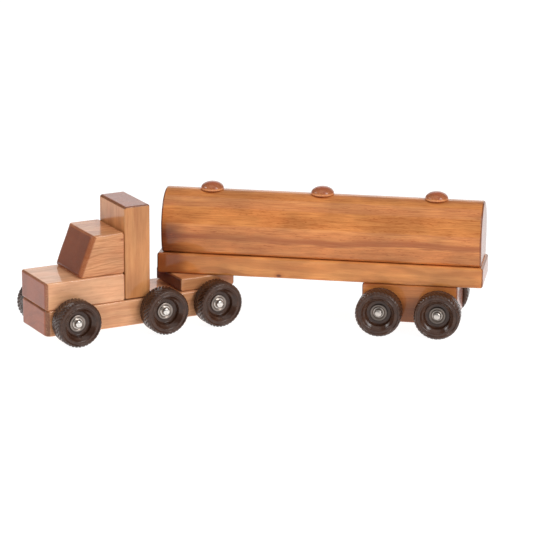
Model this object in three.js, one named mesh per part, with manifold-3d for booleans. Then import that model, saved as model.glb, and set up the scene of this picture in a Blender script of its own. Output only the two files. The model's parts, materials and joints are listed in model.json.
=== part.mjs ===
// Hand-made wooden toy tanker truck: a three-axle tractor and a two-axle tank trailer.
// Millimetres, +Z up, the truck's front towards -X. The trailer lies along X, and the tractor
// stands turned about the hitch pin. The origin is under the middle of the whole toy, at floor level.
//
// Inside the tractor and the trailer alike, x runs backwards from the hitch pin, y is sideways,
// with the truck's left at -y, and z is the height above the floor.

import * as THREE from 'three';
import { mergeVertices } from 'three/addons/utils/BufferGeometryUtils.js';
import Module from 'manifold-3d';

const wasm = await Module();
wasm.setup();

// ---- Driving dimensions ----

const GAP = 0.3;                 // glue line left between pieces that touch
const BOARD_WIDTH = 65;          // cab, back board and trailer bed
const BASE_WIDTH = 67.5;         // base board, and the hood that is glued flush on it
const EASE = 1.6;                // sanded edge along a board's sides
const CORNER = 2.8;              // sanded corner of a board's side outline
const SHARP_CORNER = 4;          // the same where the outline isn't square

const WHEEL_RADIUS = 25.4;       // a 2 inch wheel
const WHEEL_WIDTH = 22;
const HALF_TRACK = 58.3;         // centre line to a wheel's outer face
const WHEEL_SIDES = 28;
const WHEEL_CORNER = 1.6;        // shoulder of the tread
const HUB_FLOOR = 12.5;          // inner face to the floor of the dished hub
const HUB_BOSS = 2.2;            // the boss that keeps the wheel off the board
const HUB_BOSS_RADIUS = 7;
const DISH_RIM_RADIUS = 18.6;    // where the hub's dish starts
const DISH_LEDGE = [14.6, 17.4];  // radius and height where the dish steepens
const DISH_FLOOR_RADIUS = 13.2;
const CAP_BRIM_RADIUS = 9.7;
const CAP_BRIM_THICKNESS = 1.2;
const CAP_DOME_RADIUS = 4.8;
const CAP_DOME_HEIGHT = 5.6;     // brim's back to the top of the dome
const CAP_WALL = 1;
const AXLE_RADIUS = 3.175;       // a quarter inch rod
const BORE_RADIUS = 3.6;         // running hole for the rod

const BASE_LENGTH = 229;
const BASE_BOTTOM = 9;
const BASE_THICKNESS = 29;
const BASE_NOSE_RADIUS = 6.5;    // front corners, seen from above
const HOOD_THICKNESS = 30.6;
const HOOD_LENGTH = 94.2;
const CAB_HEIGHT = 45.6;
const CAB_BOTTOM_LENGTH = 56.4;
const CAB_TOP_LENGTH = 38.4;
const BACK_BOARD_THICKNESS = 30.4;
const BACK_BOARD_HEIGHT = 104.4;
const BACK_BOARD_TOP_CORNER = 3.2;
const HITCH_BLOCK_LENGTH = 66.5;
const HITCH_BLOCK_WIDTH = 61;
const HITCH_BLOCK_THICKNESS = 14.6;
const TRACTOR_AXLES = [30, 134.5, 200];       // distances from the front of the base
const HITCH_FROM_FRONT = 212;

const BED_LENGTH = 361;
const BED_THICKNESS = 22.5;
const BED_BOTTOM = 53.2;
const BED_FRONT_OVERHANG = 51.6; // front of the bed ahead of the hitch pin
const TANK_LENGTH = 354;
const TANK_HEIGHT = 67.3;
const TANK_HALF_WIDTH = 33.2;    // at the bulge
const TANK_FOOT_HALF_WIDTH = 30; // where it sits on the bed
const TANK_BULGE_HEIGHT = 29;
const FOOT_CORNER = 5;
const TANK_EASE = 2.2;           // sanded edge round both ends
const TANK_SETBACK = 4.4;        // front of the tank behind the front of the bed
const BOGIE_LENGTH = 105;
const BOGIE_WIDTH = 63;
const BOGIE_BOTTOM = 10.2;
const BOGIE_FRONT = 177.2;       // behind the hitch pin
const BOGIE_AXLES = [198.2, 262.4];           // behind the hitch pin
const HATCH_PLACES = [52, 175, 301];          // behind the front of the tank
const HATCH_RADIUS = 12.8;
const HATCH_HEIGHT = 9.2;
const HATCH_RIM = 1;             // height of the button's upright rim
const HATCH_UNDERCUT = 0.8;
const TENON_RADIUS = 4.7;
const TENON_DEPTH = 12;
const HATCH_SEAT = 1.1;          // depth of the flat seat cut into the crown
const HATCH_SEAT_RADIUS = 13.4;

const KINGPIN_RADIUS = 4.76;     // a 3/8 inch dowel
const KINGPIN_BOTTOM = 14;
const KINGPIN_TOP = 67;
const KINGPIN_PLAY = 0.5;        // round the pin where it turns

const TRACTOR_TURN = 37.3;       // degrees that the tractor stands turned from straight ahead

// ---- Finishes ----

const finish = (color, roughness, metalness = 0) => ({ color, roughness, metalness });
const WOOD_SIDE = finish(0xd99a68, 0.35);
const WOOD_BODY = finish(0xc98452, 0.32);
const WOOD_TANK = finish(0xc47c45, 0.3);
const WOOD_BUTTON = finish(0xb0653f, 0.35);
const BLACK_PLASTIC = finish(0x2f2725, 0.38);
const BRIGHT_STEEL = finish(0xd8d4cf, 0.22, 1);

// ---- Solid helpers ----

function toManifold(geometry) {
  const bare = geometry.clone();
  bare.deleteAttribute('normal');
  bare.deleteAttribute('uv');
  const merged = mergeVertices(bare, 1e-4);
  const vertProperties = new Float32Array(merged.attributes.position.array);
  const triVerts = new Uint32Array(merged.index.array);
  return new wasm.Manifold(new wasm.Mesh({ numProp: 3, vertProperties, triVerts }));
}

function toGeometry(solid) {
  const mesh = solid.getMesh();
  const geometry = new THREE.BufferGeometry();
  geometry.setAttribute('position', new THREE.BufferAttribute(mesh.vertProperties, 3));
  geometry.setIndex(new THREE.BufferAttribute(mesh.triVerts, 1));
  return geometry;
}

// Drills round holes: each has a centre, a radius, a length and an axis, 'y' or 'z'.
function drill(geometry, holes) {
  let solid = toManifold(geometry);
  for (const hole of holes) {
    const bit = new THREE.CylinderGeometry(hole.radius, hole.radius, hole.length, 16);
    if (hole.axis === 'z') bit.rotateX(Math.PI / 2);
    bit.translate(...hole.at);
    solid = solid.subtract(toManifold(bit));
  }
  return toGeometry(solid);
}

// A closed outline through corner points, with each corner rounded by its own radius.
function roundedOutline(corners) {
  const shape = new THREE.Shape();
  const count = corners.length;
  corners.forEach(([x, y, radius], i) => {
    const here = new THREE.Vector2(x, y);
    const before = new THREE.Vector2(...corners[(i + count - 1) % count]).sub(here).setLength(radius);
    const after = new THREE.Vector2(...corners[(i + 1) % count]).sub(here).setLength(radius);
    const start = here.clone().add(before);
    const end = here.clone().add(after);
    if (i === 0) shape.moveTo(start.x, start.y);
    else shape.lineTo(start.x, start.y);
    shape.quadraticCurveTo(x, y, end.x, end.y);
  });
  shape.closePath();
  return shape;
}

// Extrudes a side-view outline (x back, y up) across the truck, with sanded edges at both sides.
function acrossTruck(outline, width) {
  const geometry = new THREE.ExtrudeGeometry(outline, {
    depth: width - 2 * EASE,
    bevelEnabled: true,
    bevelThickness: EASE,
    bevelSize: EASE,
    bevelOffset: -EASE,
    bevelSegments: 2,
    curveSegments: 3,
  });
  geometry.translate(0, 0, EASE - width / 2);
  geometry.rotateX(Math.PI / 2);
  return geometry;
}

function block(length, width, thickness, top = CORNER) {
  const corners = [[0, 0, CORNER], [length, 0, CORNER], [length, thickness, top], [0, thickness, top]];
  return acrossTruck(roundedOutline(corners), width);
}

function axleHole(x, z) {
  return { at: [x, 0, z], radius: BORE_RADIUS, length: BASE_WIDTH + 10, axis: 'y' };
}

function mesh(name, geometry, look, x = 0, y = 0, z = 0) {
  const made = new THREE.Mesh(geometry, new THREE.MeshStandardMaterial(look));
  made.name = name;
  made.position.set(x, y, z);
  return made;
}

// ---- Tractor pieces ----

// The base board's front corners are rounded in plan as well as sanded.
function baseGeometry() {
  const plain = block(BASE_LENGTH, BASE_WIDTH, BASE_THICKNESS);
  const half = BASE_WIDTH / 2;
  const plan = roundedOutline([
    [0, -half, BASE_NOSE_RADIUS],
    [BASE_LENGTH + 1, -half, 0.1],
    [BASE_LENGTH + 1, half, 0.1],
    [0, half, BASE_NOSE_RADIUS],
  ]);
  const prism = new THREE.ExtrudeGeometry(plan, {
    depth: BASE_THICKNESS + 2,
    bevelEnabled: false,
    curveSegments: 6,
  });
  prism.translate(0, 0, -1);
  const cut = toGeometry(toManifold(plain).intersect(toManifold(prism)));
  const kingpinHole = {
    at: [HITCH_FROM_FRONT, 0, BASE_THICKNESS / 2],
    radius: KINGPIN_RADIUS + KINGPIN_PLAY,
    length: BASE_THICKNESS + 2,
    axis: 'z',
  };
  const axleHoles = TRACTOR_AXLES.map((x) => axleHole(x, WHEEL_RADIUS - BASE_BOTTOM));
  return drill(cut, [...axleHoles, kingpinHole]);
}

function cabGeometry() {
  const slope = CAB_BOTTOM_LENGTH - CAB_TOP_LENGTH;
  const corners = [
    [0, 0, SHARP_CORNER],
    [CAB_BOTTOM_LENGTH, 0, CORNER],
    [CAB_BOTTOM_LENGTH, CAB_HEIGHT, CORNER],
    [slope, CAB_HEIGHT, SHARP_CORNER],
  ];
  return acrossTruck(roundedOutline(corners), BOARD_WIDTH);
}

function hitchBlockGeometry(holeX) {
  const kingpinHole = {
    at: [holeX, 0, HITCH_BLOCK_THICKNESS / 2],
    radius: KINGPIN_RADIUS + KINGPIN_PLAY,
    length: HITCH_BLOCK_THICKNESS + 2,
    axis: 'z',
  };
  return drill(block(HITCH_BLOCK_LENGTH, HITCH_BLOCK_WIDTH, HITCH_BLOCK_THICKNESS), [kingpinHole]);
}

function tractorBody() {
  const front = -HITCH_FROM_FRONT;
  const deck = BASE_BOTTOM + BASE_THICKNESS + GAP;
  const hoodTop = deck + HOOD_THICKNESS + GAP;
  const cabFront = front + HOOD_LENGTH - CAB_BOTTOM_LENGTH;
  const backFront = front + HOOD_LENGTH + GAP;
  const hitchBlockFront = front + BASE_LENGTH - HITCH_BLOCK_LENGTH;
  const back = block(BACK_BOARD_THICKNESS, BOARD_WIDTH, BACK_BOARD_HEIGHT, BACK_BOARD_TOP_CORNER);
  return [
    mesh('tractor_base', baseGeometry(), WOOD_SIDE, front, 0, BASE_BOTTOM),
    mesh('hood_block', block(HOOD_LENGTH, BASE_WIDTH, HOOD_THICKNESS), WOOD_SIDE, front, 0, deck),
    mesh('cab_block', cabGeometry(), WOOD_SIDE, cabFront, 0, hoodTop),
    mesh('back_board', back, WOOD_BODY, backFront, 0, deck),
    mesh('hitch_block', hitchBlockGeometry(-hitchBlockFront), WOOD_SIDE, hitchBlockFront, 0, deck),
  ];
}

// ---- Trailer pieces ----

// Flat foot, sides that swell to the bulge, and an elliptical crown. Each end has eased edges.
function tankGeometry() {
  const outline = new THREE.Shape();
  const foot = TANK_FOOT_HALF_WIDTH;
  const bulge = TANK_HALF_WIDTH;
  outline.moveTo(FOOT_CORNER - foot, 0);
  outline.lineTo(foot - FOOT_CORNER, 0);
  outline.quadraticCurveTo(foot, 0, foot + 0.5, FOOT_CORNER);
  outline.quadraticCurveTo(bulge, TANK_BULGE_HEIGHT / 2, bulge, TANK_BULGE_HEIGHT);
  outline.absellipse(0, TANK_BULGE_HEIGHT, bulge, TANK_HEIGHT - TANK_BULGE_HEIGHT, 0, Math.PI);
  outline.quadraticCurveTo(-bulge, TANK_BULGE_HEIGHT / 2, -foot - 0.5, FOOT_CORNER);
  outline.quadraticCurveTo(-foot, 0, FOOT_CORNER - foot, 0);
  const body = new THREE.ExtrudeGeometry(outline, {
    depth: TANK_LENGTH - 2 * TANK_EASE,
    bevelEnabled: true,
    bevelThickness: TANK_EASE,
    bevelSize: TANK_EASE,
    bevelOffset: -TANK_EASE,
    bevelSegments: 2,
    curveSegments: 10,
  });
  body.rotateX(Math.PI / 2);
  body.rotateZ(Math.PI / 2);
  body.translate(TANK_EASE, 0, 0);
  const tenonHoles = HATCH_PLACES.map((x) => ({
    at: [x, 0, TANK_HEIGHT - TENON_DEPTH / 2],
    radius: TENON_RADIUS + GAP,
    length: TENON_DEPTH + 4,
    axis: 'z',
  }));
  const seats = HATCH_PLACES.map((x) => ({
    at: [x, 0, TANK_HEIGHT],
    radius: HATCH_SEAT_RADIUS,
    length: 2 * HATCH_SEAT,
    axis: 'z',
  }));
  return drill(body, [...seats, ...tenonHoles]);
}

// A turned mushroom button with its tenon, its rim at z = 0.
function hatchGeometry() {
  const profile = [
    new THREE.Vector2(0, -TENON_DEPTH),
    new THREE.Vector2(TENON_RADIUS, -TENON_DEPTH),
    new THREE.Vector2(TENON_RADIUS, 0),
    new THREE.Vector2(HATCH_RADIUS - HATCH_UNDERCUT, 0),
  ];
  const steps = 6;
  for (let i = 0; i <= steps; i += 1) {
    const angle = (i / steps) * (Math.PI / 2);
    const z = HATCH_RIM + (HATCH_HEIGHT - HATCH_RIM) * Math.sin(angle);
    profile.push(new THREE.Vector2(i === steps ? 0 : HATCH_RADIUS * Math.cos(angle), z));
  }
  const geometry = new THREE.LatheGeometry(profile, 20);
  geometry.rotateX(Math.PI / 2);
  return geometry;
}

function bedGeometry() {
  const kingpinHole = {
    at: [BED_FRONT_OVERHANG, 0, 0],
    radius: KINGPIN_RADIUS + GAP,
    length: 2 * (KINGPIN_TOP + GAP - BED_BOTTOM),
    axis: 'z',
  };
  return drill(block(BED_LENGTH, BOARD_WIDTH, BED_THICKNESS), [kingpinHole]);
}

function bogieGeometry() {
  const height = BED_BOTTOM - GAP - BOGIE_BOTTOM;
  const holes = BOGIE_AXLES.map((x) => axleHole(x - BOGIE_FRONT, WHEEL_RADIUS - BOGIE_BOTTOM));
  return drill(block(BOGIE_LENGTH, BOGIE_WIDTH, height), holes);
}

function kingpinGeometry() {
  const pin = new THREE.CylinderGeometry(KINGPIN_RADIUS, KINGPIN_RADIUS, KINGPIN_TOP - KINGPIN_BOTTOM, 20);
  pin.rotateX(Math.PI / 2);
  return pin;
}

function trailerBody() {
  const bedFront = -BED_FRONT_OVERHANG;
  const tankFront = bedFront + TANK_SETBACK;
  const tankBottom = BED_BOTTOM + BED_THICKNESS + GAP;
  const pinMiddle = (KINGPIN_TOP + KINGPIN_BOTTOM) / 2;
  const pieces = [
    mesh('trailer_bed', bedGeometry(), WOOD_BODY, bedFront, 0, BED_BOTTOM),
    mesh('tank', tankGeometry(), WOOD_TANK, tankFront, 0, tankBottom),
    mesh('bogie_block', bogieGeometry(), WOOD_BODY, BOGIE_FRONT, 0, BOGIE_BOTTOM),
    mesh('kingpin', kingpinGeometry(), WOOD_BUTTON, 0, 0, pinMiddle),
  ];
  HATCH_PLACES.forEach((x, i) => {
    const rim = tankBottom + TANK_HEIGHT - HATCH_SEAT + GAP;
    pieces.push(mesh(`hatch_button_${i + 1}`, hatchGeometry(), WOOD_BUTTON, tankFront + x, 0, rim));
  });
  return pieces;
}

// ---- Running gear ----

// The wheel's inner face is at y = 0 and its outer face at y = -WHEEL_WIDTH. One flat of the
// polygon lies on the floor, so the flats are tangent to the true radius.
function wheelGeometry() {
  const shoulder = WHEEL_RADIUS - WHEEL_CORNER;
  const outline = [
    [BORE_RADIUS, -HUB_BOSS],
    [HUB_BOSS_RADIUS, -HUB_BOSS],
    [HUB_BOSS_RADIUS, 0],
    [shoulder, 0],
    [WHEEL_RADIUS, WHEEL_CORNER],
    [WHEEL_RADIUS, WHEEL_WIDTH - WHEEL_CORNER],
    [shoulder, WHEEL_WIDTH],
    [DISH_RIM_RADIUS, WHEEL_WIDTH],
    DISH_LEDGE,
    [DISH_FLOOR_RADIUS, HUB_FLOOR],
    [BORE_RADIUS, HUB_FLOOR],
    [BORE_RADIUS, -HUB_BOSS],
  ];
  const stretch = 1 / Math.cos(Math.PI / WHEEL_SIDES);
  const profile = outline.map(([r, t]) => new THREE.Vector2(r * stretch, -t));
  return new THREE.LatheGeometry(profile.reverse(), WHEEL_SIDES, Math.PI / WHEEL_SIDES);
}

// A pressed steel hat that snaps over the end of the rod: a brim round a hollow dome.
function capGeometry() {
  const back = HUB_FLOOR + GAP;
  const inside = CAP_DOME_RADIUS - CAP_WALL;
  const outline = [
    [0, back + CAP_DOME_HEIGHT - CAP_WALL],
    [inside, back + CAP_DOME_HEIGHT - 2 * CAP_WALL],
    [inside, back],
    [CAP_BRIM_RADIUS, back],
    [CAP_BRIM_RADIUS, back + CAP_BRIM_THICKNESS],
    [CAP_DOME_RADIUS + 2 * CAP_WALL, back + CAP_BRIM_THICKNESS],
    [CAP_DOME_RADIUS, back + CAP_BRIM_THICKNESS / 2],
    [CAP_DOME_RADIUS, back + CAP_DOME_HEIGHT / 2],
    [CAP_DOME_RADIUS * 0.7, back + CAP_DOME_HEIGHT * 0.9],
    [0, back + CAP_DOME_HEIGHT],
  ];
  const profile = outline.map(([r, t]) => new THREE.Vector2(r, -t));
  return new THREE.LatheGeometry(profile.reverse(), 20);
}

function axleSet(place, x) {
  const wheelPlane = HALF_TRACK - WHEEL_WIDTH;
  const rodLength = 2 * (wheelPlane + HUB_FLOOR + CAP_DOME_HEIGHT / 2);
  const rod = new THREE.CylinderGeometry(AXLE_RADIUS, AXLE_RADIUS, rodLength, 16);
  const set = [mesh(`axle_${place}`, rod, BRIGHT_STEEL, x, 0, WHEEL_RADIUS)];
  for (const [side, sign] of [['left', -1], ['right', 1]]) {
    const wheel = mesh(`wheel_${place}_${side}`, wheelGeometry(), BLACK_PLASTIC);
    const cap = mesh(`cap_${place}_${side}`, capGeometry(), BRIGHT_STEEL);
    for (const piece of [wheel, cap]) {
      piece.position.set(x, sign * wheelPlane, WHEEL_RADIUS);
      if (sign > 0) piece.rotation.z = Math.PI;
      set.push(piece);
    }
  }
  return set;
}

// ---- Assembly ----

const tractor = new THREE.Group();
tractor.add(...tractorBody());
['front', 'drive_1', 'drive_2'].forEach((place, i) => {
  tractor.add(...axleSet(place, TRACTOR_AXLES[i] - HITCH_FROM_FRONT));
});
tractor.rotation.z = THREE.MathUtils.degToRad(TRACTOR_TURN);

const trailer = new THREE.Group();
trailer.add(...trailerBody());
['bogie_1', 'bogie_2'].forEach((place, i) => trailer.add(...axleSet(place, BOGIE_AXLES[i])));

const truck = new THREE.Group();
truck.add(tractor, trailer);

const middle = new THREE.Box3().setFromObject(truck, true).getCenter(new THREE.Vector3());
truck.position.set(-middle.x, -middle.y, 0);

export default truck;
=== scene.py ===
"""Looks for the hand-made wooden toy tanker truck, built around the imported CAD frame.

Lengths inside each piece are in millimetres in its own frame, and MM turns them into metres.
In the tractor and in the trailer alike, x runs backwards from the hitch pin, y is sideways with
the truck's left at -y, and z is the height above the floor.
"""

import json
import math

import bmesh
import bpy
from mathutils import Matrix, Vector, noise


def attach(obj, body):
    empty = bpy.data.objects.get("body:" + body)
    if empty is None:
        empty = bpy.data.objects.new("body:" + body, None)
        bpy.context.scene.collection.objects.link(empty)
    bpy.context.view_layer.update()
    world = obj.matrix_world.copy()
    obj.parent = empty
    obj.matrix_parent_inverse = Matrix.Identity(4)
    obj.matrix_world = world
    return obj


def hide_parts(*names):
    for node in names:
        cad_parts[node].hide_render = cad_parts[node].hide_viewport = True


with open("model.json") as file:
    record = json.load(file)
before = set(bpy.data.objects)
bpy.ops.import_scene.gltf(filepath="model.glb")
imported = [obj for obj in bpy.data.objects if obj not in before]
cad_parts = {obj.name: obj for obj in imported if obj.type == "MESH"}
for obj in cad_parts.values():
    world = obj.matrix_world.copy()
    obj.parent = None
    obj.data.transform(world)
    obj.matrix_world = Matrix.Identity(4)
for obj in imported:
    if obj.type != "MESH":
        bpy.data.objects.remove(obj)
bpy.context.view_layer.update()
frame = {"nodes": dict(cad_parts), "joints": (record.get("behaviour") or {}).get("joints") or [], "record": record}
NODES = frame["nodes"]
BODY_OF = {n: body for body, names in frame["record"]["behaviour"]["bodies"].items() for n in names}
JOINTS = {joint["name"]: joint for joint in frame["joints"]}

MM = 0.001

# ---- Where the two vehicles stand ----

HITCH = Vector((*JOINTS["hitch_swing"]["pos_m"][:2], 0))
AXLE_LINE = JOINTS["axle_front_turn"]["axis"]
TRACTOR_TURN = math.atan2(-AXLE_LINE[0], AXLE_LINE[1])
TRAILER = Matrix.Translation(HITCH)
TRACTOR = Matrix.Translation(HITCH) @ Matrix.Rotation(TRACTOR_TURN, 4, "Z")

# ---- Hand-sanded shapes, in mm ----

EASE = 2.0                # rounded edge along a board's sides
CORNER = 2.8              # rounded corner of a board's side outline
FRONT_EASE = 4.0          # the hood's front edges
TALL_TOP_CORNERS = (2.4, 3.2)  # rear and front
CAB_CORNER = 3.6
CAB_SLOPE = 18.0          # how far the windshield leans back
WINDSHIELD_EASE = 5.6
NOSE = 6.5                # front corners of the base board, seen from above
TANK_EASE = 2.4
TANK_FOOT = 30.0          # half width where the tank sits on the bed
TANK_BULGE = 33.2         # half width at the widest point
TANK_BULGE_HEIGHT = 29.0
FOOT_CORNER = 5.0
BUTTON_HEIGHT = 9.2       # of a hatch button above the tank's crown
BUTTON_RIM = 1.3          # height of the widest part of a hatch button
TENON_RADIUS = 4.7
WANDER = 0.3              # share by which a sanded edge's radius wanders along its length
ARC = 7                   # points on each rounded corner
STEP = 7.0                # spacing of the points along a straight edge

WHEEL_WIDTH = 22.0
WHEEL_RADIUS = 25.4
TREAD_SEGMENTS = 360
TREAD_BLOCKS = 36
TREAD_DEPTH = 1.0
TREAD_SLANT = 1.9         # how many blocks a groove crosses from rib to shoulder
TREAD_SHOULDER = 23.4     # radius where the grooves run out
TREAD_RIB = 1.0           # half width of the plain middle rib
GROOVE_SHARE = 0.46       # share of a block's pitch that is groove
GROOVE_WALL = 0.12        # share of the pitch over which a groove's wall slopes
WHEEL_PLANE = 36.3        # distance of a wheel's inner face from the middle of the toy


# ---- Meshes ----

def local_box(node, place):
    """Lowest and highest corner of a CAD node in a vehicle's own frame, in mm."""
    inverse = place.inverted()
    points = [inverse @ v.co for v in NODES[node].data.vertices]
    low = Vector([min(p[i] for p in points) for i in range(3)]) / MM
    high = Vector([max(p[i] for p in points) for i in range(3)]) / MM
    return low, high


def finish_piece(name, mesh, place, centre, material, replaced, turned=None):
    """Places a mesh that was made round its own centre, and ties it to the body of the node it replaces."""
    matrix = place @ Matrix.Translation(centre * MM)
    if turned is not None:
        mesh.transform(turned.inverted())
        matrix = matrix @ turned
    piece = bpy.data.objects.new(name, mesh)
    bpy.context.scene.collection.objects.link(piece)
    piece.matrix_world = matrix
    mesh.materials.append(material)
    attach(piece, BODY_OF[replaced])
    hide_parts(replaced)
    return piece


def smooth_mesh(name, vertices, faces, normals=None):
    mesh = bpy.data.meshes.new(name)
    mesh.from_pydata([Vector(v) * MM for v in vertices], [], faces)
    mesh.validate()
    shell = bmesh.new()
    shell.from_mesh(mesh)
    bmesh.ops.recalc_face_normals(shell, faces=shell.faces)
    shell.to_mesh(mesh)
    shell.free()
    mesh.polygons.foreach_set("use_smooth", [True] * len(mesh.polygons))
    if normals is not None:
        mesh.normals_split_custom_set_from_vertices([Vector(n).normalized() for n in normals])
    return mesh


def tube_faces(levels, count):
    """Faces of a closed tube of levels rings, each of count vertices, with both ends capped."""
    faces = []
    for level in range(levels - 1):
        for i in range(count):
            j = (i + 1) % count
            a, b = level * count, (level + 1) * count
            faces.append((a + i, a + j, b + j, b + i))
    last = (levels - 1) * count
    faces.append(tuple(range(count - 1, -1, -1)))
    faces.append(tuple(range(last, last + count)))
    return faces


def inset_ring(corners, eases, inset, parts):
    """Points round a convex outline of (u, v, radius) corners, anticlockwise, with edge i moved
    inwards by inset * eases[i]. Each is (point, outward direction, ease)."""
    count = len(corners)
    points = [Vector(corner[:2]) for corner in corners]
    outward = []
    for i in range(count):
        along = (points[(i + 1) % count] - points[i]).normalized()
        outward.append(Vector((along.y, -along.x)))
    arcs = []
    for i in range(count):
        n0, n1 = outward[i - 1], outward[i]
        level0 = n0.dot(points[i]) - inset * eases[i - 1]
        level1 = n1.dot(points[i]) - inset * eases[i]
        cross = n0.x * n1.y - n0.y * n1.x
        here = Vector((level0 * n1.y - level1 * n0.y, level1 * n0.x - level0 * n1.x)) / cross
        radius = max(0.3, corners[i][2] - inset * (eases[i - 1] + eases[i]) / 2)
        half = (math.pi - n0.angle(n1)) / 2
        centre = here - (n0 + n1).normalized() * (radius / math.sin(half))
        start = math.atan2(n0.y, n0.x)
        sweep = (math.atan2(n1.y, n1.x) - start) % (2 * math.pi)
        arc = []
        for k in range(ARC):
            share = k / (ARC - 1)
            a = start + sweep * share
            direction = Vector((math.cos(a), math.sin(a)))
            ease = eases[i - 1] * (1 - share) + eases[i] * share
            arc.append((centre + radius * direction, direction, ease))
        arcs.append(arc)
    ring = []
    for i, arc in enumerate(arcs):
        ring += arc
        start = arc[-1][0]
        end = arcs[(i + 1) % count][0][0]
        ring += [(start.lerp(end, k / parts[i]), outward[i], eases[i]) for k in range(1, parts[i])]
    return ring


def eased_prism(name, corners, depth, eases, seed, steps=6, side="y"):
    """Extrudes a rounded outline whose edges are eased round both faces, edge i by eases[i], and
    wander a little as hand sanding does. side "y" lays the outline in x and z, side "z" in x and y."""
    count = len(corners)
    parts = []
    for i in range(count):
        length = (Vector(corners[(i + 1) % count][:2]) - Vector(corners[i][:2])).length
        parts.append(max(1, round(length / STEP)))
    half = depth / 2
    levels = []
    for k in range(steps + 1):
        levels.append((-1, math.pi / 2 * k / steps))
    for k in range(steps, -1, -1):
        levels.append((1, math.pi / 2 * k / steps))
    vertices = []
    normals = []
    for sign, a in levels:
        inset = 1 - math.sin(a)
        for point, direction, ease in inset_ring(corners, eases, inset, parts):
            wander = WANDER * noise.noise(Vector((point.x * 0.05, point.y * 0.05, seed + sign)))
            p = point - direction * (ease * inset * wander)
            w = sign * (half - ease * (1 - math.cos(a)) * (1 + wander))
            n = direction * math.sin(a)
            c = sign * math.cos(a)
            if side == "y":
                vertices.append((p.x, w, p.y))
                normals.append((n.x, c, n.y))
            else:
                vertices.append((p.x, p.y, w))
                normals.append((n.x, n.y, c))
    faces = tube_faces(len(levels), len(vertices) // len(levels))
    return smooth_mesh(name, vertices, faces, normals)


def rectangle(low, high, radii):
    """Anticlockwise corners with radii at low-low, high-low, high-high, low-high."""
    (u0, v0), (u1, v1) = low, high
    return [(u0, v0, radii[0]), (u1, v0, radii[1]), (u1, v1, radii[2]), (u0, v1, radii[3])]


def board(node, place, material, seed, radii=(CORNER,) * 4, eases=(EASE,) * 4, upright=False):
    """A sanded board: radii start at its lower front corner, eases at its lower edge."""
    low, high = local_box(node, place)
    centre = (low + high) / 2
    half = (high - low) / 2
    corners = rectangle((-half.x, -half.z), (half.x, half.z), radii)
    mesh = eased_prism(node, corners, 2 * half.y, eases, seed)
    turned = Matrix.Rotation(-math.pi / 2, 4, "Y") if upright else None
    return finish_piece(f"{node}_wood", mesh, place, centre, material, node, turned)


def lathe(name, profile, segments, shape=None):
    """Turns a closed (radius, height) profile round z. shape may move a point: (r, z, angle) -> (r, z).
    A profile that starts and ends on the axis is closed there."""
    vertices = []
    rings = []
    for r, z in profile:
        if r < 1e-6:
            rings.append([len(vertices)])
            vertices.append((0, 0, z))
            continue
        ring = []
        for i in range(segments):
            angle = 2 * math.pi * i / segments
            rr, zz = shape(r, z, angle) if shape else (r, z)
            ring.append(len(vertices))
            vertices.append((rr * math.cos(angle), rr * math.sin(angle), zz))
        rings.append(ring)
    pairs = list(zip(rings, rings[1:]))
    if len(rings[0]) > 1:
        pairs.append((rings[-1], rings[0]))
    faces = []
    for a, b in pairs:
        for i in range(segments):
            j = (i + 1) % segments
            if len(a) == 1:
                faces.append((a[0], b[j], b[i]))
            elif len(b) == 1:
                faces.append((a[i], a[j], b[0]))
            else:
                faces.append((a[i], a[j], b[j], b[i]))
    return smooth_mesh(name, vertices, faces)


def softened(points, radius, steps=4):
    """Rounds each inner corner of an open (r, z) profile by radius, or by the corner's own third
    number where it has one."""
    out = [Vector(points[0][:2])]
    for i in range(1, len(points) - 1):
        here = Vector(points[i][:2])
        before = Vector(points[i - 1][:2])
        after = Vector(points[i + 1][:2])
        size = points[i][2] if len(points[i]) > 2 else radius
        size = min(size, (before - here).length * 0.49, (after - here).length * 0.49)
        start = here + (before - here).normalized() * size
        end = here + (after - here).normalized() * size
        for k in range(steps + 1):
            t = k / steps
            out.append(start * (1 - t) ** 2 + here * 2 * t * (1 - t) + end * t * t)
    out.append(Vector(points[-1][:2]))
    return [(p.x, p.y) for p in out]


# ---- Material graphs ----

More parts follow.
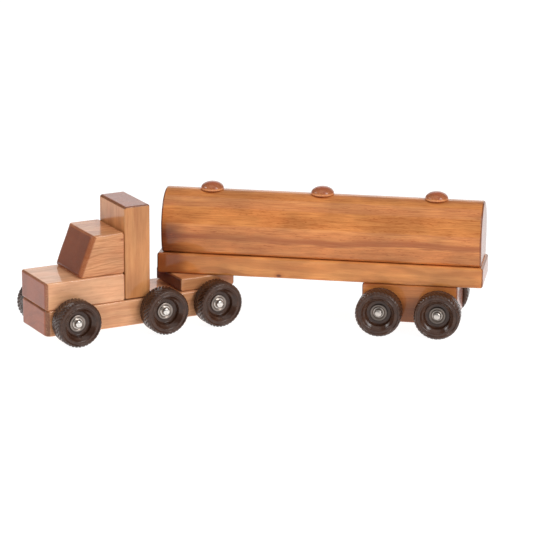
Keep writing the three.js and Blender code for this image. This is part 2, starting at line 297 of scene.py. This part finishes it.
class Graph:
    """A small helper that writes shader nodes as calls."""

    def __init__(self, name):
        self.material = bpy.data.materials.new(name)
        self.material.use_nodes = True
        self.tree = self.material.node_tree
        self.tree.nodes.clear()

    def node(self, kind, inputs=None, **settings):
        made = self.tree.nodes.new("ShaderNode" + kind)
        for key, value in settings.items():
            setattr(made, key, value)
        for key, value in (inputs or {}).items():
            self.put(made.inputs[key], value)
        return made

    def put(self, socket, value):
        if isinstance(value, bpy.types.NodeSocket):
            self.tree.links.new(value, socket)
        else:
            socket.default_value = value

    def math(self, operation, a, b=0.0):
        return self.node("Math", {0: a, 1: b}, operation=operation).outputs[0]

    def vector(self, operation, a, b=(0, 0, 0)):
        made = self.node("VectorMath", {0: a}, operation=operation)
        if operation == "SCALE":
            self.put(made.inputs["Scale"], b)
        else:
            self.put(made.inputs[1], b)
        return made.outputs["Value" if operation in ("LENGTH", "DOT_PRODUCT") else "Vector"]

    def ramp(self, value, low, high, out_low=0.0, out_high=1.0):
        settings = {"Value": value, "From Min": low, "From Max": high,
                    "To Min": out_low, "To Max": out_high}
        return self.node("MapRange", settings, interpolation_type="SMOOTHSTEP").outputs[0]

    def noise(self, at, detail=2.0, rough=0.5, offset=0.0):
        moved = self.vector("ADD", at, (offset, offset * 1.7, offset * 0.6))
        settings = {"Vector": moved, "Scale": 1.0, "Detail": detail, "Roughness": rough}
        return self.node("TexNoise", settings)

    def mix(self, factor, a, b, blend="MIX"):
        made = self.node("Mix", data_type="RGBA", blend_type=blend)
        self.put(made.inputs["Factor"], factor)
        for name, value in (("A", a), ("B", b)):
            socket = [s for s in made.inputs if s.name == name and s.type == "RGBA"][0]
            self.put(socket, value)
        return [s for s in made.outputs if s.type == "RGBA"][0]

    def split(self, value):
        made = self.node("SeparateXYZ", {0: value})
        return made.outputs[0], made.outputs[1], made.outputs[2]

    def join(self, x, y, z):
        return self.node("CombineXYZ", {0: x, 1: y, 2: z}).outputs[0]

    def bump(self, height, distance, strength):
        """A bump whose full height is distance, in mm."""
        settings = {"Height": height, "Distance": distance * MM, "Strength": strength}
        return self.node("Bump", settings).outputs[0]

    def surface(self, shader_inputs):
        shader = self.node("BsdfPrincipled", shader_inputs)
        output = self.node("OutputMaterial")
        self.tree.links.new(shader.outputs[0], output.inputs["Surface"])
        return self.material


def rgb(r, g, b):
    """An sRGB colour of 0 to 255 as a linear RGBA value."""
    def linear(c):
        c /= 255
        return c / 12.92 if c <= 0.04045 else ((c + 0.055) / 1.055) ** 2.4
    return (linear(r), linear(g), linear(b), 1.0)


def wood(name, seed, light, base, dark, end, burnt, pith=(30, -60), ring=6.0, rings_shown=0.25,
         wander=4.0, pores=0.3, streaks=0.35, cloud=0.12, knots=(), bands=(), painted_shade=(), gloss=0.08):
    """Stained and varnished wood whose grain runs along the piece's own x. pith is where the
    tree's heart would be, in y and z, in mm; ring is the mean spacing of the growth rings.
    Knots are (x, y, z, size) and bands (low z, high z, softness, colour, strength); bands serve partly as painted
    shade and a painted reflection. The last list is painted shadow over a piece's low-x end, each (low x, high x,
    top z, colour, strength): it fades towards high x, and above top z."""
    g = Graph(name)
    coordinates = g.node("TexCoord")
    p = g.vector("SCALE", coordinates.outputs["Object"], 1 / MM)
    x, y, z = g.split(p)
    slow = g.noise(g.vector("MULTIPLY", p, (0.010, 0.02, 0.02)), 2.0, 0.5, seed)
    drift = g.vector("SCALE", g.vector("SUBTRACT", slow.outputs["Color"], (0.5, 0.5, 0.5)), 4 * wander)
    _, drift_y, drift_z = g.split(drift)
    away_y = g.math("SUBTRACT", g.math("ADD", y, drift_y), pith[0])
    away_z = g.math("SUBTRACT", g.math("ADD", z, drift_z), pith[1])
    radius = g.vector("LENGTH", g.join(away_y, away_z, 0.0))

    spots = []
    for kx, ky, kz, size in knots:
        away = g.vector("MULTIPLY", g.vector("SUBTRACT", p, (kx, ky, kz)), (0.6 / size, 1 / size, 1 / size))
        far = g.vector("LENGTH", away)
        spots.append(far)
        radius = g.math("ADD", radius, g.ramp(far, 0.0, 4.0, 1.6 * size, 0.0))

    growth = g.node("TexNoise", {"W": g.math("MULTIPLY", radius, 1 / ring), "Scale": 1.0, "Detail": 2.5,
                                 "Roughness": 0.6}, noise_dimensions="1D").outputs[0]
    late = g.ramp(growth, 0.50, 0.66)
    broad = g.noise(g.vector("MULTIPLY", p, (0.012, 0.14, 0.14)), 3.0, 0.6, seed + 5.3).outputs[0]
    fibres = g.noise(g.vector("MULTIPLY", p, (0.035, 0.8, 0.8)), 4.0, 0.65, seed + 3.1).outputs[0]
    fine = g.noise(g.vector("MULTIPLY", p, (0.10, 2.4, 2.4)), 2.0, 0.6, seed + 7.7).outputs[0]
    dashes = g.noise(g.vector("MULTIPLY", p, (0.16, 1.3, 1.3)), 1.5, 0.5, seed + 11.3).outputs[0]
    pore = g.math("MULTIPLY", g.ramp(dashes, 0.57, 0.70), g.ramp(broad, 0.35, 0.6))
    clouds = g.noise(g.vector("MULTIPLY", p, (0.022, 0.045, 0.045)), 2.0, 0.5, seed + 17.9).outputs[0]

    colour = g.mix(g.ramp(broad, 0.32, 0.68), light, base)
    colour = g.mix(g.math("MULTIPLY", g.ramp(fibres, 0.42, 0.68), streaks), colour, dark)
    colour = g.mix(g.math("MULTIPLY", late, rings_shown), colour, dark)
    # Bands by height; the bogie's is painted shade, and the tank's are partly a painted reflection.
    for low, high, soft, tone, strength in bands:
        level = g.math("ADD", z, g.math("MULTIPLY", g.math("SUBTRACT", fibres, 0.5), 7.0))
        level = g.math("ADD", level, drift_z)
        above = g.ramp(level, low - soft, low + soft)
        below = g.ramp(level, high - soft, high + soft, 1, 0)
        inside = g.math("MULTIPLY", above, below)
        patchy = g.ramp(clouds, 0.3, 0.6, 0.55, 1.0)
        colour = g.mix(g.math("MULTIPLY", g.math("MULTIPLY", inside, patchy), strength), colour, tone)
    # Painted shadow: darkens the low-x end, fading towards high x and above top z.
    for low, high, top, tone, strength in painted_shade:
        level = g.math("ADD", x, g.math("MULTIPLY", g.math("SUBTRACT", clouds, 0.5), 18.0))
        fading = g.ramp(level, low, high, strength, 0.0)
        amount = g.math("MULTIPLY", fading, g.ramp(z, top - 9, top + 9, 1.0, 0.0))
        colour = g.mix(amount, colour, tone)
    colour = g.mix(g.math("MULTIPLY", g.ramp(fine, 0.5, 0.7), 0.5 * streaks), colour, dark)
    colour = g.mix(g.math("MULTIPLY", pore, pores), colour, dark)
    shade = g.ramp(clouds, 0.3, 0.7, 1 - cloud, 1 + cloud)
    colour = g.mix(1.0, colour, g.join(shade, shade, shade), "MULTIPLY")
    for far in spots:
        colour = g.mix(g.ramp(far, 0.7, 2.2, 0.55, 0.0), colour, dark)
        colour = g.mix(g.ramp(far, 0.35, 1.0, 0.85, 0.0), colour, burnt)

    along, _, _ = g.split(coordinates.outputs["Normal"])
    across = g.math("ABSOLUTE", along)
    end_rings = g.mix(g.math("MULTIPLY", late, 0.16), end, burnt)
    speckle = g.noise(g.vector("MULTIPLY", p, (0.8, 0.8, 0.8)), 3.0, 0.6, seed + 23.0).outputs[0]
    end_rings = g.mix(g.ramp(speckle, 0.45, 0.7, 0.0, 0.25), end_rings, burnt)
    end_rings = g.mix(1.0, end_rings, g.join(shade, shade, shade), "MULTIPLY")
    colour = g.mix(g.ramp(across, 0.78, 0.97), colour, end_rings)
    rubbed = g.math("MULTIPLY", g.ramp(across, 0.12, 0.42), g.ramp(across, 0.84, 0.98, 1, 0))
    rubbed = g.math("MULTIPLY", rubbed, g.ramp(speckle, 0.25, 0.6, 0.6, 1.0))
    colour = g.mix(g.math("MULTIPLY", rubbed, 0.8), colour, burnt)

    height = g.math("SUBTRACT", g.math("MULTIPLY", fibres, 0.5), g.math("MULTIPLY", pore, 0.8))
    height = g.math("ADD", height, g.math("MULTIPLY", fine, 0.3))
    under = g.bump(height, 0.12, 0.5)
    level = g.noise(g.vector("MULTIPLY", p, (0.03, 0.09, 0.09)), 2.0, 0.5, seed + 31.0).outputs[0]
    over = g.bump(g.math("ADD", level, g.math("MULTIPLY", fibres, 0.05)), 0.25, 0.35)
    return g.surface({
        "Base Color": colour,
        "Roughness": g.ramp(fibres, 0.3, 0.7, 0.36, 0.5),
        "Specular IOR Level": 0.15,
        "Coat Weight": 0.65,
        "Coat Roughness": gloss,
        "Coat IOR": 1.5,
        "Normal": under,
        "Coat Normal": over,
    })


def plastic(name):
    """Moulded dark brown-black plastic with a faint, patchy bloom."""
    g = Graph(name)
    coordinates = g.node("TexCoord")
    p = g.vector("SCALE", coordinates.outputs["Object"], 1 / MM)
    bloom = g.noise(g.vector("SCALE", p, 0.12), 3.0, 0.6, 4.0).outputs[0]
    grainy = g.noise(g.vector("SCALE", p, 1.4), 2.0, 0.5, 9.0).outputs[0]
    colour = g.mix(g.ramp(bloom, 0.35, 0.7), (0.048, 0.018, 0.009, 1), (0.078, 0.034, 0.019, 1))
    return g.surface({
        "Base Color": colour,
        "Roughness": g.ramp(bloom, 0.3, 0.7, 0.18, 0.28),
        "Specular IOR Level": 0.45,
        "Normal": g.bump(grainy, 0.03, 0.35),
    })


def steel(name, tint, rough, brim=None):
    """Bright steel with fine marks that run round it, or along it if it has no brim. A brim is (radius, tint):
    outside that radius the plating is a little rougher, and its darker tint is a painted reflection of darker
    surroundings."""
    g = Graph(name)
    coordinates = g.node("TexCoord")
    p = g.vector("SCALE", coordinates.outputs["Object"], 1 / MM)
    x, y, z = g.split(p)
    patina = g.noise(g.vector("SCALE", p, 0.35), 3.0, 0.6, 6.0).outputs[0]
    dull = tuple(c * 0.72 for c in tint[:3]) + (1.0,)
    colour = g.mix(g.ramp(patina, 0.4, 0.75), tint, dull)
    roughness = rough
    if brim is None:
        marks = g.noise(g.vector("MULTIPLY", p, (3.0, 0.2, 3.0)), 3.0, 0.6, 2.0)
    else:
        radius = g.vector("LENGTH", g.join(x, y, 0.0))
        rings = g.join(g.math("MULTIPLY", radius, 5.0), g.math("MULTIPLY", z, 5.0), 0.0)
        marks = g.noise(rings, 3.0, 0.6, 2.0)
        outside = g.ramp(radius, brim[0] - 0.5, brim[0] + 0.5)
        # The brim's darker tint is a painted reflection of darker surroundings.
        colour = g.mix(outside, colour, brim[1])
        roughness = g.math("ADD", g.math("MULTIPLY", outside, 0.06), rough)
    marks = marks.outputs[0]
    return g.surface({
        "Base Color": colour,
        "Metallic": 1.0,
        "Roughness": roughness,
        "Normal": g.bump(marks, 0.004, 0.3),
    })


BURNT = rgb(96, 42, 22)
LIGHT_GRAIN = (0.87, 0.43, 0.21)
MIDDLE_GRAIN = (0.76, 0.34, 0.16)
DARK_GRAIN = (0.50, 0.16, 0.058)


def stained(red, green, blue, end, rubbed=BURNT):
    """Tones of one board: the grain colours tinted by its stain, its end grain and its rubbed edges."""
    def tint(grain):
        return (grain[0] * red, grain[1] * green, grain[2] * blue, 1.0)
    return {"light": tint(LIGHT_GRAIN), "base": tint(MIDDLE_GRAIN), "dark": tint(DARK_GRAIN),
            "end": end, "burnt": rubbed}


TRACTOR_END = rgb(164, 84, 48)
TRACTOR_EDGE = rgb(128, 60, 34)
HOOD_TONES = stained(1.06, 1.16, 1.28, rgb(152, 76, 44), TRACTOR_EDGE)
BASE_TONES = stained(0.96, 1.0, 1.02, TRACTOR_END, rgb(96, 40, 24))
CAB_TONES = stained(0.90, 0.89, 0.82, rgb(114, 53, 34), rgb(152, 76, 42))
TALL_TONES = stained(0.78, 0.70, 0.52, TRACTOR_END, BURNT)
# The hitch block's end grain is set far darker than the other boards': partly end grain, partly painted shade on
# its front face, which sits in shadow under the bed behind the tall board.
HITCH_TONES = stained(0.90, 0.87, 0.78, rgb(104, 48, 30), BURNT)
BED_TONES = stained(0.95, 0.79, 0.46, rgb(158, 86, 56))
TANK_TONES = stained(0.88, 0.70, 0.42, rgb(150, 82, 52))
BOGIE_TONES = stained(0.80, 0.58, 0.32, rgb(158, 86, 56))

wheel_plastic = plastic("wheel_plastic")
cap_steel = steel("cap_steel", (0.84, 0.79, 0.74, 1), 0.24, (5.6, (0.30, 0.25, 0.22, 1)))
# The trailer's caps are duller than the tractor's, and their brims darker still: a painted reflection of darker
# surroundings.
dull_cap_steel = steel("dull_cap_steel", (0.66, 0.60, 0.55, 1), 0.30, (5.6, (0.20, 0.165, 0.145, 1)))
axle_steel = steel("axle_steel", (0.62, 0.60, 0.58, 1), 0.28)


# ---- Boards ----

base_wood = wood("base_board_wood", 1.3, pith=(-20, -70), ring=5.0, **BASE_TONES)
low, high = local_box("tractor_base", TRACTOR)
centre = (low + high) / 2
half = (high - low) / 2
corners = rectangle((-half.x, -half.y), (half.x, half.y), (NOSE, CORNER, CORNER, NOSE))
mesh = eased_prism("tractor_base", corners, 2 * half.z, (EASE,) * 4, 0.5, side="z")
finish_piece("tractor_base_wood", mesh, TRACTOR, centre, base_wood, "tractor_base")

hood_wood = wood("hood_wood", 5.9, pith=(10, -50), ring=6.0, rings_shown=0.14, streaks=0.2, **HOOD_TONES)
board("hood_block", TRACTOR, hood_wood, 3.5, (CORNER,) * 4, (EASE, EASE, EASE, FRONT_EASE))

cab_wood = wood("cab_wood", 12.4, pith=(-15, 70), ring=2.6, wander=7.0, rings_shown=0.55, streaks=0.6,
                knots=[(24.6, -32.0, 15.0, 1.3)], **CAB_TONES)
low, high = local_box("cab_block", TRACTOR)
centre = (low + high) / 2
half = (high - low) / 2
corners = [
    (-half.x, -half.z, CAB_CORNER),
    (half.x, -half.z, CORNER),
    (half.x, half.z, CORNER),
    (CAB_SLOPE - half.x, half.z, CAB_CORNER),
]
mesh = eased_prism("cab_block", corners, 2 * half.y, (EASE, EASE, EASE, WINDSHIELD_EASE), 6.5)
finish_piece("cab_block_wood", mesh, TRACTOR, centre, cab_wood, "cab_block")

tall_wood = wood("tall_board_wood", 21.7, pith=(60, 20), ring=7.0, rings_shown=0.16, streaks=0.25,
                 **TALL_TONES)
board("back_board", TRACTOR, tall_wood, 9.5, (CORNER, CORNER, *TALL_TOP_CORNERS),
      upright=True)

hitch_wood = wood("hitch_block_wood", 27.2, pith=(20, -45), ring=5.0, **HITCH_TONES)
board("hitch_block", TRACTOR, hitch_wood, 12.5)

bed_wood = wood("bed_wood", 33.8, pith=(15, -90), ring=14.0, wander=9.0, rings_shown=0.4, cloud=0.17,
                streaks=0.25, knots=[(-44.0, -32.5, -8.2, 2.3)],
                # Painted shadow of the tractor's tall board over the bed's front end.
                painted_shade=[(-162.0, -142.0, 50.0, rgb(128, 54, 28), 0.62)],
                **BED_TONES)
board("trailer_bed", TRAILER, bed_wood, 15.5)

# The dark band over the lower part of the bogie's sides is painted shade, where the wheels shadow it.
bogie_wood = wood("bogie_wood", 41.1, pith=(-10, 80), ring=8.0, rings_shown=0.5, cloud=0.16,
                  bands=[(-40.0, 4.0, 7.0, rgb(92, 42, 24), 0.6)], **BOGIE_TONES)
board("bogie_block", TRAILER, bogie_wood, 18.5)


# ---- Tank ----

def tank_section(height):
    """Half of the tank's section from the middle of the foot round to the crown, as (y, z)."""
    points = [(y, 0.0) for y in (6, 12, 18, 22)]
    def curve(a, b, c, steps):
        for k in range(1, steps + 1):
            t = k / steps
            shares = ((1 - t) ** 2, 2 * t * (1 - t), t * t)
            points.append(tuple(shares[0] * a[i] + shares[1] * b[i] + shares[2] * c[i] for i in (0, 1)))
    points.append((TANK_FOOT - FOOT_CORNER, 0.0))
    curve(points[-1], (TANK_FOOT, 0.0), (TANK_FOOT + 0.5, FOOT_CORNER), 8)
    curve(points[-1], (TANK_BULGE, TANK_BULGE_HEIGHT / 2), (TANK_BULGE, TANK_BULGE_HEIGHT), 12)
    for k in range(1, 33):
        a = math.pi / 2 * k / 32
        rise = (height - TANK_BULGE_HEIGHT) * math.sin(a)
        points.append((TANK_BULGE * math.cos(a), TANK_BULGE_HEIGHT + rise))
    return points


def tank_mesh(length, height):
    right = tank_section(height)
    loop = [Vector(p) for p in right]
    loop += [Vector((-p[0], p[1])) for p in reversed(right[:-1])]
    loop = loop[::-1]
    n = len(loop)
    outward = []
    for i in range(n):
        tangent = (loop[(i + 1) % n] - loop[i - 1]).normalized()
        outward.append(Vector((-tangent.y, tangent.x)))
    middle = Vector((0, height / 2))
    if outward[0].dot(loop[0] - middle) < 0:
        outward = [-o for o in outward]
    steps = 6
    levels = []
    for k in range(steps + 1):
        a = math.pi / 2 * k / steps
        levels.append((-1, 1 - math.sin(a), 1 - math.cos(a), a, None))
    spans = 44
    for k in range(1, spans):
        levels.append((0, 0, 0, math.pi / 2, k / spans))
    for k in range(steps, -1, -1):
        a = math.pi / 2 * k / steps
        levels.append((1, 1 - math.sin(a), 1 - math.cos(a), a, None))
    vertices = []
    normals = []
    half_length = length / 2
    for sign, inset, back, a, share in levels:
        for point, out in zip(loop, outward):
            wander = 1 + WANDER * noise.noise(Vector((point.x * 0.06, point.y * 0.06, 2.0 + sign)))
            e = TANK_EASE * wander
            p = point - out * e * inset
            if share is None:
                x = sign * (half_length - e * back)
            else:
                x = -half_length + TANK_EASE * 1.6 + (length - TANK_EASE * 3.2) * share
            vertices.append((x, p.x, p.y - height / 2))
            normals.append((sign * math.cos(a), out.x * math.sin(a), out.y * math.sin(a)))
    return smooth_mesh("tank", vertices, tube_faces(len(levels), n), normals)


tank_wood = wood(
    "tank_wood", 52.6, pith=(-5, 160), ring=9.0, wander=3.0, rings_shown=0.2, pores=0.9,
    streaks=0.6, cloud=0.15,
    # The lower, lighter band is a painted reflection of the floor where the side tucks in towards the foot; the
    # darker band above it is partly grain, partly a painted reflection of the darker horizon.
    bands=[(-16.5, -8.5, 2.5, rgb(146, 70, 34), 0.6), (-28.0, -19.0, 2.0, rgb(206, 124, 66), 0.4)],
    # Painted shadow and reflection of the tall board over the lower half of the tank's front end.
    painted_shade=[(-178.0, -138.0, 0.0, rgb(88, 34, 16), 0.85)],
    **TANK_TONES)
low, high = local_box("tank", TRAILER)
mesh = tank_mesh(high.x - low.x, high.z - low.z)
finish_piece("tank_wood", mesh, TRAILER, (low + high) / 2, tank_wood, "tank")

# ---- Hatch buttons ----

button_wood = wood("button_wood", 61.3, light=rgb(232, 160, 104), base=rgb(216, 138, 84),
                   dark=rgb(160, 88, 52), end=rgb(176, 92, 58), burnt=rgb(150, 74, 46),
                   pith=(2, 3), ring=2.2)
for i in (1, 2, 3):
    name = f"hatch_button_{i}"
    low, high = local_box(name, TRAILER)
    radius = (high.x - low.x) / 2
    rim = high.z - BUTTON_HEIGHT
    tenon = low.z - rim
    profile = [(0, tenon), (TENON_RADIUS, tenon), (TENON_RADIUS, 0)]
    profile += [(radius - 0.9, 0), (radius - 0.2, 0.5), (radius, BUTTON_RIM)]
    for k in range(1, 15):
        a = math.pi / 2 * k / 14
        out = radius * math.cos(a) ** 0.92 if k < 14 else 0
        profile.append((out, BUTTON_RIM + (BUTTON_HEIGHT - BUTTON_RIM) * math.sin(a)))
    mesh = lathe(name, profile, 72)
    centre = Vector(((low.x + high.x) / 2, 0, rim))
    turned = Matrix.Rotation(-math.pi / 2, 4, "Y")
    finish_piece(f"{name}_wood", mesh, TRAILER, centre, button_wood, name, turned)


# ---- Wheels and caps ----
# Both are turned round z with the outer face up, then stood up on their axle.

def tread(r, t, angle):
    """Cuts slanting grooves into the tread either side of a plain middle rib, and lets them run
    out over the shoulder."""
    if r < TREAD_SHOULDER:
        return r, t
    middle = WHEEL_WIDTH / 2
    aside = abs(t - middle)
    if aside < TREAD_RIB:
        return r, t
    slant = TREAD_SLANT * (aside - TREAD_RIB) / middle
    phase = (angle / (2 * math.pi) * TREAD_BLOCKS + slant + (0.5 if t > middle else 0)) % 1
    inside = min(phase / GROOVE_WALL, (GROOVE_SHARE - phase) / GROOVE_WALL)
    cut = max(0.0, min(1.0, inside))
    fade = min(1.0, (r - TREAD_SHOULDER) / 1.2)
    depth = TREAD_DEPTH * cut * fade
    if r > WHEEL_RADIUS - 0.3:
        return r - depth, t
    out = 1 if t > middle else -1
    share = (r - TREAD_SHOULDER) / (WHEEL_RADIUS - TREAD_SHOULDER)
    return r - depth * share, t - out * depth * (1 - share) * 0.8


# Corners as (radius, height) with an optional softening, from the bore's inner end round the tread
# to its outer end, and for the cap from the inside of the dome to the outside.
WHEEL_PROFILE = [
    (3.6, -2.2), (7.0, -2.2, 0.4), (7.0, 0.0, 0.3), (9.5, 0.0, 0.3), (10.5, 3.0, 0.5),
    (16.5, 3.0, 0.5), (17.2, 0.3, 0.5),
    (22.0, 0.0, 0.4), (23.3, 0.1, 0.5), (25.4, 1.9, 1.2), (25.4, 20.1, 1.2), (23.5, 21.9, 0.7),
    (22.6, 22.1, 0.3), (21.8, 21.0, 0.4), (19.5, 21.0, 0.4), (19.0, 21.5, 0.3), (18.4, 21.2, 0.5),
    (16.4, 18.7, 2.0), (14.6, 17.2, 0.6), (14.0, 13.6, 0.6), (13.0, 12.5, 0.5), (3.6, 12.5),
]
CAP_PROFILE = [
    (0.0, 17.6), (2.6, 17.1, 0.5), (3.7, 15.9, 0.6), (3.7, 12.8, 0.2), (9.5, 12.8, 0.15), (9.6, 13.6, 0.4),
    (8.8, 14.3, 0.5), (7.2, 14.2, 0.7), (5.9, 13.1, 0.6), (4.9, 13.1, 0.3),
    (4.7, 15.8, 1.4), (3.7, 17.8, 2.0), (0.0, 18.4),
]


def with_tread_rows(profile):
    """Adds rows across the tread, so that the slanting grooves are smooth."""
    out = []
    for a, b in zip(profile, profile[1:]):
        out.append(a)
        if a[0] > 25.3 and b[0] > 25.3 and b[1] - a[1] > 5:
            rows = 20
            out += [(a[0], a[1] + (b[1] - a[1]) * k / rows) for k in range(1, rows)]
    return out + [profile[-1]]


wheel_mesh = lathe("treaded_wheel", with_tread_rows(softened(WHEEL_PROFILE, 0.4)), TREAD_SEGMENTS, tread)
wheel_mesh.set_sharp_from_angle(angle=math.radians(50))
wheel_mesh.materials.append(wheel_plastic)
cap_mesh = lathe("pressed_cap", softened(CAP_PROFILE, 0.3), 72)
dull_cap_mesh = cap_mesh.copy()
cap_mesh.materials.append(cap_steel)
dull_cap_mesh.materials.append(dull_cap_steel)

for place_name in ("front", "drive_1", "drive_2", "bogie_1", "bogie_2"):
    place, caps = (TRAILER, dull_cap_mesh) if place_name.startswith("bogie") else (TRACTOR, cap_mesh)
    low, high = local_box(f"axle_{place_name}", place)
    axle_x = (low.x + high.x) / 2
    for side, sign in (("left", -1), ("right", 1)):
        spot = Vector((axle_x, sign * WHEEL_PLANE, WHEEL_RADIUS))
        upright = Matrix.Rotation(-sign * math.pi / 2, 4, "X")
        for kind, mesh, slot in (("wheel", wheel_mesh, "wheel_plastic"), ("cap", caps, "cap_steel")):
            node = f"{kind}_{place_name}_{side}"
            piece = bpy.data.objects.new(f"{node}_fine", mesh)
            bpy.context.scene.collection.objects.link(piece)
            piece.matrix_world = place @ Matrix.Translation(spot * MM) @ upright
            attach(piece, BODY_OF[node])
            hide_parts(node)

# ---- CAD pieces that stay ----

kingpin_wood = wood("kingpin_wood", 71.0, pith=(40, 10), ring=4.0, **BASE_TONES)
for node in NODES:
    if node.startswith("axle_"):
        NODES[node].data.materials.clear()
        NODES[node].data.materials.append(axle_steel)
NODES["kingpin"].data.materials.clear()
NODES["kingpin"].data.materials.append(kingpin_wood)


# ---- Studio ----

def area(name, direction, distance, width, height, radiance, colour=(1, 1, 1)):
    """A soft box that faces the toy. Its power comes from the radiance it should show."""
    data = bpy.data.lights.new(name, "AREA")
    data.shape = "RECTANGLE"
    data.size = width
    data.size_y = height
    data.color = colour
    data.energy = radiance * math.pi * width * height
    lamp = bpy.data.objects.new(name, data)
    bpy.context.scene.collection.objects.link(lamp)
    towards = Vector(direction).normalized()
    lamp.location = towards * distance
    lamp.rotation_euler = towards.to_track_quat("Z", "Y").to_euler()
    return lamp


FLOOR_REACH = 30.0
floor_graph = Graph("floor_paper")
floor_mesh = bpy.data.meshes.new("floor")
floor_mesh.from_pydata([(-FLOOR_REACH, -FLOOR_REACH, 0), (FLOOR_REACH, -FLOOR_REACH, 0),
                        (FLOOR_REACH, FLOOR_REACH, 0), (-FLOOR_REACH, FLOOR_REACH, 0)], [], [(0, 1, 2, 3)])
floor = bpy.data.objects.new("floor", floor_mesh)
bpy.context.scene.collection.objects.link(floor)
floor_mesh.materials.append(floor_graph.surface({
    "Base Color": (0.25, 0.25, 0.25, 1),
    "Roughness": 0.9,
    "Specular IOR Level": 0.0,
    "Emission Color": (1, 1, 1, 1),
    "Emission Strength": 0.95,
}))

world = bpy.data.worlds.new("studio")
bpy.context.scene.world = world
world.use_nodes = True
world.node_tree.nodes["Background"].inputs["Color"].default_value = (1, 1, 1, 1)
world.node_tree.nodes["Background"].inputs["Strength"].default_value = 0.2

area("key", (0.70, -0.48, 0.50), 3.4, 1.6, 1.6, 5.0)
area("fill", (-0.8, -0.3, 0.5), 3.4, 1.4, 1.4, 1.6)
area("backdrop", (0.0, 1.0, 0.30), 5.6, 6.0, 2.4, 1.15)
area("overhead", (0.0, -0.25, 1.0), 3.4, 2.6, 2.6, 0.8)
area("glint_right", (0.60, -0.31, 0.74), 3.4, 0.9, 0.9, 7.0)
area("glint_left", (-0.79, -0.13, 0.60), 3.4, 0.9, 0.9, 7.0)

# ---- Camera ----

AZIMUTH = math.radians(9.03)
ELEVATION = math.radians(15.93)
ROLL = math.radians(0.458)
DISTANCE = 3.2
LENS = 188.48
AIM = HITCH + Vector((75.55, 0, 47.6)) * MM

back = Vector((math.sin(AZIMUTH) * math.cos(ELEVATION), -math.cos(AZIMUTH) * math.cos(ELEVATION),
               math.sin(ELEVATION)))
level_right = Vector((math.cos(AZIMUTH), math.sin(AZIMUTH), 0))
level_up = back.cross(level_right)
right = math.cos(ROLL) * level_right + math.sin(ROLL) * level_up
up = -math.sin(ROLL) * level_right + math.cos(ROLL) * level_up
camera_data = bpy.data.cameras.new("camera")
camera_data.lens = LENS
camera_data.sensor_width = 36
camera_data.clip_end = 100
camera = bpy.data.objects.new("camera", camera_data)
bpy.context.scene.collection.objects.link(camera)
axes = Matrix((right, up, back)).transposed().to_4x4()
camera.matrix_world = Matrix.Translation(AIM + back * DISTANCE) @ axes
bpy.context.scene.camera = camera
bpy.context.scene.view_settings.view_transform = "Standard"
